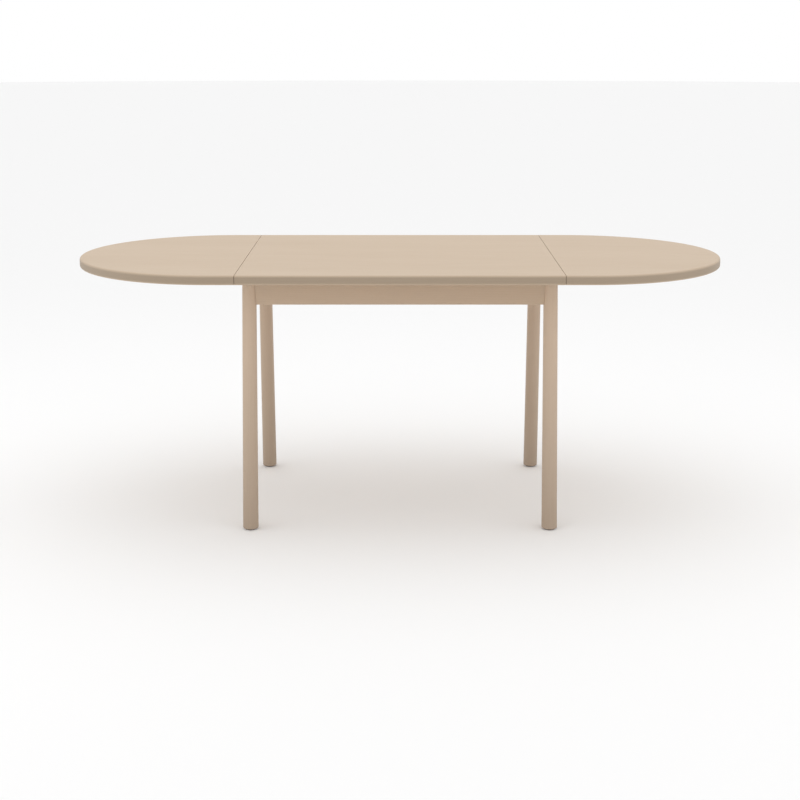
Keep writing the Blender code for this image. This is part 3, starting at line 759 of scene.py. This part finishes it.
def eased_end(radius, height, soft, steps=4):
    """Profile points from the rim's side, round the edge, to the axis."""
    sign = 1 if height > 0 else -1
    arc = [(radius - soft * (1 - math.cos(math.pi / 2 * s / steps)),
            height - sign * soft * (1 - math.sin(math.pi / 2 * s / steps)))
           for s in range(steps + 1)]
    return arc + [(0.0, height)]


ARM_SOFT = 0.0015
SPIGOT_RADIUS = 0.004

for side_name, side in SIDES.items():
    body = f"gate_{side_name}"
    rod_middle, rod_size = box_of(f"gate_rod_{side_name}")
    bar_middle, bar_size = box_of(f"gate_bar_{side_name}")
    reach = Vector((bar_middle.x - rod_middle.x, 0, bar_middle.z - rod_middle.z))
    rise = math.atan2(reach.z, abs(reach.x))
    for end_name in ENDS:
        node = f"gate_arm_{side_name}_{end_name}"
        middle, size = box_of(node)
        depth = size.z - abs(reach.z)
        turn = Matrix.Rotation(-side * rise, 4, "Y") @ Matrix.Rotation(math.pi / 2, 4, "X")
        place = Matrix.Translation(middle) @ turn
        shape = slab(reach.length + depth, depth, size.y, depth / 2 - 1e-5, ARM_SOFT, place,
                     steps=12)
        finish_piece(f"gate_arm_{side_name}_{end_name}_shaped", as_mesh(node, shape),
                     BARE_WOOD_X, body, "inner_wood", node)
    radius = bar_size.z / 2
    shoulder = min(abs(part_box(f"gate_arm_{side_name}_rear")[0].y), bar_size.y / 2) - TOUCH
    tip = bar_size.y / 2
    half_profile = [(radius, 0.0)] + [
        (radius - 0.001 * (1 - math.cos(math.pi / 2 * s / 3)),
         shoulder - 0.001 * (1 - math.sin(math.pi / 2 * s / 3))) for s in range(4)]
    half_profile += [(SPIGOT_RADIUS, shoulder), (SPIGOT_RADIUS, tip - 0.0006),
                     (SPIGOT_RADIUS - 0.0006, tip), (0.0, tip)]
    profile = [(r, -h) for r, h in reversed(half_profile)] + half_profile[1:]
    shape = lathe(profile, along_y(*bar_middle))
    name = f"gate_bar_{side_name}_turned"
    finish_piece(name, as_mesh(name, shape), BARE_WOOD_Y, body, "inner_wood",
                 f"gate_bar_{side_name}")
    rod_radius, rod_half = rod_size.z / 2, rod_size.y / 2
    upper = eased_end(rod_radius, rod_half, 0.0006)
    profile = [(r, -h) for r, h in reversed(upper)] + upper
    shape = lathe(profile, along_y(*rod_middle), steps=24)
    name = f"gate_pivot_rod_{side_name}"
    finish_piece(name, as_mesh(name, shape), ZINC, body, "zinc_steel", f"gate_rod_{side_name}")
    print(f"{side_name} gate: arms rise {math.degrees(rise):.1f} degrees to the bar")

# %% [markdown]
# A bracket is cut from sheet and bent square: a foot with two screws lies on the
# apron, and an ear with a round end stands out from it and carries the rod. Bent
# sheet is easy to follow as a strip: its path is seen from above, and at each
# step along the path the strip has a height of its own.

# %% Brackets bent from sheet
def bent_strip(path, thickness, z_middle):
    """path: (x, y, normal x, normal y, half height) down the middle of the sheet."""
    def place(u, v, w):
        x, y, nx, ny, half = path[round(u * (len(path) - 1))]
        off = (v - 0.5) * thickness
        return (x + nx * off, y + ny * off, z_middle + (2 * w - 1) * half)
    return lattice_shell((len(path) - 1, 1, 1), place)


EAR_RADIUS = 0.008
BEND = 0.0030                         # radius of the bend, at the middle of the sheet
SHEET = 0.0022
FOOT_CORNER = 0.004
FOOT_TAPER = 0.006                    # length over which the foot narrows to the ear

for side_name, side in SIDES.items():
    rod_middle, _ = box_of(f"gate_rod_{side_name}")
    for end_name, end in ENDS.items():
        node = f"gate_bracket_{side_name}_{end_name}"
        low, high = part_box(node)
        apron_x = low.x if side > 0 else high.x
        foot_x = abs(apron_x) + SHEET / 2
        near, far = sorted((abs(low.y), abs(high.y)))
        ear_y = near + SHEET / 2
        half_foot = (high.z - low.z) / 2
        path = []
        for step in range(6):
            turn = math.pi / 2 * step / 5
            path.append((foot_x, far - FOOT_CORNER * (1 - math.cos(turn)), 1, 0,
                         half_foot - FOOT_CORNER * (1 - math.sin(turn))))
        path.append((foot_x, ear_y + BEND + FOOT_TAPER, 1, 0, half_foot))
        for step in range(1, 7):
            share = step / 6
            path.append((foot_x, ear_y + BEND + FOOT_TAPER * (1 - share), 1, 0,
                         half_foot + (EAR_RADIUS - half_foot) * (3 - 2 * share) * share ** 2))
        for step in range(1, 9):
            turn = math.pi / 2 * step / 8
            path.append((foot_x + BEND * (1 - math.cos(turn)),
                         ear_y + BEND * (1 - math.sin(turn)),
                         math.cos(turn), math.sin(turn), EAR_RADIUS))
        tip_x = abs(rod_middle.x)
        for step in range(9):
            turn = math.pi / 2 * step / 8
            half = max(EAR_RADIUS * math.cos(turn), 0.0012)
            path.append((tip_x + EAR_RADIUS * math.sin(turn), ear_y, 0, 1, half))
        path = [(side * x, end * y, side * nx, end * ny, half) for x, y, nx, ny, half in path]
        shape = bent_strip(path, SHEET, rod_middle.z)
        name = f"bracket_{side_name}_{end_name}"
        finish_piece(name, as_mesh(name, shape), ZINC, "frame", "zinc_steel", node)
print("four bent brackets")

# %% [markdown]
# A flap hinge has two thin plates and a pin under the seam. Strips at the inner
# edge of each plate are rolled round the pin: one in the middle of the leaf's
# plate, two at the ends of the table's plate. So each is a flat slab with rolled
# strips, and a roll is a band that follows an arc round the pin.

# %% Hinge plates with rolled knuckles, and their pins
ROLL_STEPS = 28
ROLL_ANGLE = 250                      # degrees that a strip is rolled round the pin
PLATE_CORNER = 0.005
PLATE_THICKNESS = 0.0018
PLATE_SOFT = 0.0003
ROLL_BORE = 0.0020                    # inner radius of a roll
ROLL_GAP = 0.0011                     # from a roll to the flat of the plate
ROLL_LAP = 0.008                      # how far a strip laps onto its plate


def rolled_strip(pin, way, plate_low, plate_high, y_low, y_high, outer, inner, run):
    """A band from the plate over the top of the pin and round it."""
    pairs = [((run, plate_high), (run, plate_low))]
    for step in range(ROLL_STEPS + 1):
        turn = math.radians(90 + ROLL_ANGLE * step / ROLL_STEPS)
        pairs.append(((outer * math.cos(turn), pin.z + outer * math.sin(turn)),
                      (inner * math.cos(turn), pin.z + inner * math.sin(turn))))

    def place(u, v, w):
        (ox, oz), (ix, iz) = pairs[round(u * (len(pairs) - 1))]
        x, z = ox + (ix - ox) * v, oz + (iz - oz) * v
        return (pin.x + way * x, y_low + (y_high - y_low) * w, z)
    return lattice_shell((len(pairs) - 1, 1, 1), place)


for side_name, side in SIDES.items():
    for end_name in ENDS:
        pin_node = f"hinge_pin_{side_name}_{end_name}"
        pin, pin_size = box_of(pin_node)
        width, third = pin_size.y, pin_size.y / 3
        for kind, body in (("leaf", f"leaf_{side_name}"), ("table", "frame")):
            node = f"hinge_{kind}_plate_{side_name}_{end_name}"
            low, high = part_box(node)
            way = side if kind == "leaf" else -side
            outer = pin.z - low.z
            far = abs((high.x if way > 0 else low.x) - pin.x)
            near = outer + ROLL_GAP
            middle = Vector((pin.x + way * (near + far) / 2, pin.y, high.z - PLATE_THICKNESS / 2))
            flat = slab(far - near, width, PLATE_THICKNESS, PLATE_CORNER, PLATE_SOFT,
                        Matrix.Translation(middle), soft_steps=2)
            if kind == "leaf":
                spans = [(-third / 2 + TOUCH, third / 2 - TOUCH)]
            else:
                spans = [(-width / 2, -third / 2 - TOUCH), (third / 2 + TOUCH, width / 2)]
            rolls = [rolled_strip(pin, way, high.z - PLATE_THICKNESS, pin.z + outer,
                                  pin.y + a, pin.y + b, outer, ROLL_BORE, near + ROLL_LAP)
                     for a, b in spans]
            name = f"flap_hinge_{kind}_{side_name}_{end_name}"
            finish_piece(name, as_mesh(name, joined(flat, *rolls)), ZINC, body,
                         "zinc_steel", node)
        half = width / 2
        upper = eased_end(pin_size.z / 2, half, 0.0008)
        shape = lathe([(r, -h) for r, h in reversed(upper)] + upper, along_y(*pin), steps=20)
        name = f"flap_hinge_pin_{side_name}_{end_name}"
        finish_piece(name, as_mesh(name, shape), ZINC, "frame", "zinc_steel", pin_node)
print("four flap hinges")

# %% [markdown]
# Felt is soft, so its discs have no sharp edge: the upper face is glued on and
# the rim is well rounded. A glide keeps a foot from scratching the floor, and a
# bumper keeps a hanging leaf off the legs.

# %% Felt glides and bumpers
for side_name in SIDES:
    for end_name in ENDS:
        for node, name, body in (
                (f"foot_glide_{end_name}_{side_name}", f"glide_{end_name}_{side_name}", "frame"),
                (f"leaf_bumper_{side_name}_{end_name}", f"bumper_{side_name}_{end_name}",
                 f"leaf_{side_name}")):
            middle, size = box_of(node)
            shape = slab(size.x, size.y, size.z, size.x / 2 - 1e-5, size.z * 0.35,
                         Matrix.Translation(middle), steps=12, soft_steps=5, soft_top=False)
            finish_piece(name, as_mesh(name, shape), FELT, body, "felt", node)
print("eight felt discs")

# %% [markdown]
# The same screw holds everything: a domed head with a cross in it. It repeats,
# so one Geometry Nodes tree makes it and puts a copy at every marked point. A
# flattened ball and a shank are the screw, two thin boxes are cut out of it for
# the cross, and each copy is turned by a random angle with a fixed seed, as
# screws are in real work. A point says which way its head looks.

# %% The screw tree
screw_tree, screw = new_tree("domed_screws", [
    ("Head Radius", "Float"), ("Head Height", "Float"), ("Shank Radius", "Float"),
    ("Shank Length", "Float"), ("Cross Width", "Float"), ("Cross Depth", "Float"),
    ("Seed", "Int"), ("Finish", "Material")])

ball = add(screw_tree, "GeometryNodeMeshUVSphere",
           {"Segments": 28, "Rings": 14, "Radius": screw["Head Radius"]})
flatness = sums(screw_tree, "DIVIDE", screw["Head Height"], screw["Head Radius"])
flat_scale = add(screw_tree, "ShaderNodeCombineXYZ", {"X": 1.0, "Y": 1.0, "Z": flatness})
dome = add(screw_tree, "GeometryNodeTransform", {"Geometry": ball, "Scale": flat_scale})
long_side = sums(screw_tree, "MULTIPLY", screw["Head Radius"], 1.15)
deep = sums(screw_tree, "MULTIPLY", screw["Cross Depth"], 2.0)
at_top = add(screw_tree, "ShaderNodeCombineXYZ", {"Z": screw["Head Height"]})
head = dome
for wide, across in ((long_side, screw["Cross Width"]), (screw["Cross Width"], long_side)):
    size = add(screw_tree, "ShaderNodeCombineXYZ", {"X": wide, "Y": across, "Z": deep})
    cutter = add(screw_tree, "GeometryNodeMeshCube", {"Size": size})
    cutter = add(screw_tree, "GeometryNodeTransform", {"Geometry": cutter, "Translation": at_top})
    head = add(screw_tree, "GeometryNodeMeshBoolean", {"Mesh 1": head, "Mesh 2": cutter},
               operation="DIFFERENCE")
shank = add(screw_tree, "GeometryNodeMeshCylinder",
            {"Vertices": 16, "Radius": screw["Shank Radius"], "Depth": screw["Shank Length"]})
half_shank = sums(screw_tree, "MULTIPLY", screw["Shank Length"], -0.5)
lower = add(screw_tree, "ShaderNodeCombineXYZ", {"Z": half_shank})
shank = add(screw_tree, "GeometryNodeTransform", {"Geometry": shank, "Translation": lower})
whole = screw_tree.nodes.new("GeometryNodeJoinGeometry")
for part in (head, shank):
    screw_tree.links.new(part.outputs[0], whole.inputs[0])
facing = add(screw_tree, "GeometryNodeInputNamedAttribute", {"Name": "facing"},
             data_type="FLOAT_VECTOR")
upright = add(screw_tree, "FunctionNodeAlignRotationToVector",
              {"Vector": facing.outputs["Attribute"]}, axis="Z")
chance = add(screw_tree, "FunctionNodeRandomValue", data_type="FLOAT")
feed(screw_tree, chance.inputs["Seed"], screw["Seed"])
chance.inputs[2].default_value, chance.inputs[3].default_value = 0.0, math.pi / 2
spin = add(screw_tree, "FunctionNodeAxisAngleToRotation",
           {"Axis": (0, 0, 1), "Angle": chance.outputs[1]})
turned = add(screw_tree, "FunctionNodeRotateRotation",
             {"Rotation": upright, "Rotate By": spin}, rotation_space="LOCAL")
copies = add(screw_tree, "GeometryNodeInstanceOnPoints",
             {"Points": screw["Geometry"], "Instance": whole, "Rotation": turned})
close_tree(screw_tree, copies, screw["Finish"])
print("screw tree:", len(screw_tree.nodes), "nodes")

# %% Where the screws go
PLATE_SCREWS = ((0.018, -0.019), (0.018, 0.019), (0.031, 0.0))   # from the pin, and along it
BATTEN_SCREWS = (0.030, 0.160, 0.290)                            # from the batten's inner end
BRACKET_SCREW_IN, BRACKET_SCREW_UP = 0.008, 0.012                # from the far edge, and mid height
KEEPER_SCREW = 0.030                                             # from the middle of the keeper
BUTTON_SCREW = 0.004                                             # from the middle, away from the tongue
PROUD_OF_STEEL, PROUD_OF_WOOD = 0.00015, 0.0001
DOWN = (0.0, 0.0, -1.0)
sites = {body: [] for body in frame["bodies"]}

for side_name, side in SIDES.items():
    leaf_body = f"leaf_{side_name}"
    for end_name, end in ENDS.items():
        pin, _ = box_of(f"hinge_pin_{side_name}_{end_name}")
        under_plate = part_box(f"hinge_leaf_plate_{side_name}_{end_name}")[1].z - PLATE_THICKNESS
        for out, across in PLATE_SCREWS:
            for way, body in ((side, leaf_body), (-side, "frame")):
                sites[body].append(((pin.x + way * out, pin.y + across,
                                     under_plate - PROUD_OF_STEEL), DOWN))
        low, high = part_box(f"leaf_batten_{side_name}_{end_name}")
        inner = low.x if side > 0 else high.x
        for out in BATTEN_SCREWS:
            sites[leaf_body].append(((inner + side * out, (low.y + high.y) / 2,
                                      low.z - PROUD_OF_WOOD), DOWN))
        low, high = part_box(f"gate_bracket_{side_name}_{end_name}")
        face = (low.x if side > 0 else high.x) + side * (SHEET + PROUD_OF_STEEL)
        far = max(abs(low.y), abs(high.y))
        for up in (-BRACKET_SCREW_UP, BRACKET_SCREW_UP):
            spot = (face, end * (far - BRACKET_SCREW_IN), (low.z + high.z) / 2 + up)
            sites["frame"].append((spot, (side, 0.0, 0.0)))
    low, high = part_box(f"gate_keeper_{side_name}")
    for across in (-KEEPER_SCREW, KEEPER_SCREW):
        sites[leaf_body].append((((low.x + high.x) / 2, across, low.z - PROUD_OF_WOOD), DOWN))

for node in (n for n in frame["nodes"] if n.startswith("top_button")):
    low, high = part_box(node)
    middle = (low + high) / 2
    if node.count("_") == 3:
        inward = Vector((0, -math.copysign(BUTTON_SCREW, middle.y), 0))
    else:
        inward = Vector((-math.copysign(BUTTON_SCREW, middle.x), 0, 0))
    spot = middle + inward
    sites["frame"].append(((spot.x, spot.y, low.z - PROUD_OF_WOOD), DOWN))
print({body: len(places) for body, places in sites.items()}, "screws")

# %% Grow the screws, one piece for each body
seeds = {"frame": 3, "leaf_left": 11, "leaf_right": 23}
for body, seed in seeds.items():
    marks = bpy.data.meshes.new("screw_marks")
    marks.from_pydata([place for place, _ in sites[body]], [], [])
    look = marks.attributes.new("facing", "FLOAT_VECTOR", "POINT")
    for number, (_, direction) in enumerate(sites[body]):
        look.data[number].vector = direction
    name = f"screws_{body}"
    mesh = grow(name, screw_tree, {
        "Head Radius": 0.0034, "Head Height": 0.0016, "Shank Radius": 0.0015,
        "Shank Length": 0.009, "Cross Width": 0.0008, "Cross Depth": 0.0011, "Seed": seed,
        "Finish": ZINC}, marks)
    piece = finish_piece(name, mesh, ZINC, body, "zinc_steel")
    print(name, len(mesh.polygons), "faces")

# %% [markdown]
# The gate's rod is held in its brackets by a domed cap pressed on each end.
# Two caps to a rod, on the same body as the rod.

# %% Push-on caps on the rods
CAP_RADIUS, CAP_REACH, CAP_DOME = 0.0062, 0.0042, 0.0022
CAP_LAP = 0.0022                      # length of rod that a cap covers
CAP_SOFT = 0.0004

for side_name in SIDES:
    rod_middle, rod_size = box_of(f"gate_rod_{side_name}")
    caps = []
    for end_name, end in ENDS.items():
        start = rod_size.y / 2 - CAP_LAP
        profile = [(0.0, start), (CAP_RADIUS - CAP_SOFT, start), (CAP_RADIUS, start + CAP_SOFT),
                   (CAP_RADIUS, start + CAP_REACH - CAP_DOME)]
        for step in range(1, 9):
            turn = math.pi / 2 * step / 8
            profile.append((CAP_RADIUS * math.cos(turn),
                            start + CAP_REACH - CAP_DOME + CAP_DOME * math.sin(turn)))
        profile[-1] = (0.0, start + CAP_REACH)
        turned_to = Matrix.Rotation(-end * math.pi / 2, 4, "X")
        caps.append(lathe(profile, Matrix.Translation(rod_middle) @ turned_to, steps=28))
    name = f"rod_caps_{side_name}"
    finish_piece(name, as_mesh(name, joined(*caps)), ZINC, f"gate_{side_name}", "zinc_steel")
print("caps on both rods")

# %% [markdown]
# The stage is a wide pale floor, which also throws light back up under the top.
# It lets a viewer below it look through, so the underside can be studied too.
# Most of the light is an even white sky. A large panel above and one at each
# side add to it.

# %% Floor and light
def floor_finish():
    made = bpy.data.materials.new("pale_floor")
    made.use_nodes = True
    tree = made.node_tree
    shader = tree.nodes["Principled BSDF"]
    shader.inputs["Base Color"].default_value = (0.93, 0.93, 0.93, 1)
    shader.inputs["Roughness"].default_value = 0.9
    shader.inputs["Specular IOR Level"].default_value = 0.1
    behind = add(tree, "ShaderNodeNewGeometry").outputs["Backfacing"]
    clear = add(tree, "ShaderNodeBsdfTransparent")
    both = add(tree, "ShaderNodeMixShader", {0: behind, 1: shader.outputs[0], 2: clear})
    feed(tree, tree.nodes["Material Output"].inputs["Surface"], both)
    return made


floor_shape = bmesh.new()
bmesh.ops.create_circle(floor_shape, cap_ends=True, radius=40.0, segments=96)
floor_mesh = bpy.data.meshes.new("floor")
floor_shape.to_mesh(floor_mesh)
floor_shape.free()
floor = bpy.data.objects.new("floor", floor_mesh)
floor_mesh.materials.append(floor_finish())
scene.collection.objects.link(floor)

world = bpy.data.worlds.new("studio")
scene.world = world
world.use_nodes = True
world.node_tree.nodes["Background"].inputs["Color"].default_value = (1.0, 1.0, 1.0, 1)
world.node_tree.nodes["Background"].inputs["Strength"].default_value = 1.0
scene.view_settings.view_transform = "Standard"


def panel(name, place, aim, width, height, power):
    light = bpy.data.lights.new(name, "AREA")
    light.shape = "RECTANGLE"
    light.size, light.size_y = width, height
    light.energy = power
    lamp = bpy.data.objects.new(name, light)
    lamp.location = place
    lamp.rotation_euler = (Vector(aim) - Vector(place)).to_track_quat("-Z", "Y").to_euler()
    scene.collection.objects.link(lamp)
    return lamp


panel("overhead", (0.0, 0.3, 2.8), (0, 0, 0.7), 3.4, 2.4, 8)
panel("side_left", (-2.9, -0.9, 1.4), (0, 0, 0.5), 2.0, 2.2, 6)
panel("side_right", (2.9, -0.9, 1.4), (0, 0, 0.5), 2.0, 2.2, 4)
print("floor, sky and three soft panels")

# %% [markdown]
# The camera stands in front of the middle of the table, higher than its top,
# and looks down. Part of that drop is a shift of the lens, which keeps upright
# lines closer to upright than a steeper tilt would.

# %% Camera
camera_data = bpy.data.cameras.new("camera")
camera_data.sensor_width = 36.0
camera_data.lens = 67.58
camera_data.shift_y = -0.15
camera = bpy.data.objects.new("camera", camera_data)
camera.location = (0.0, -4.3321, 1.3630)
camera.rotation_euler = (math.radians(90 - 9.329), 0.0, 0.0)
scene.collection.objects.link(camera)
scene.camera = camera
print("camera at", tuple(round(v, 3) for v in camera.location))

# %% [markdown]
# The last cell counts the pieces made here and their faces, and hands the
# scene over.

# %% Count and finish
bpy.context.view_layer.update()
print(len(made_pieces), "pieces,", sum(len(p.data.polygons) for p in made_pieces), "faces")
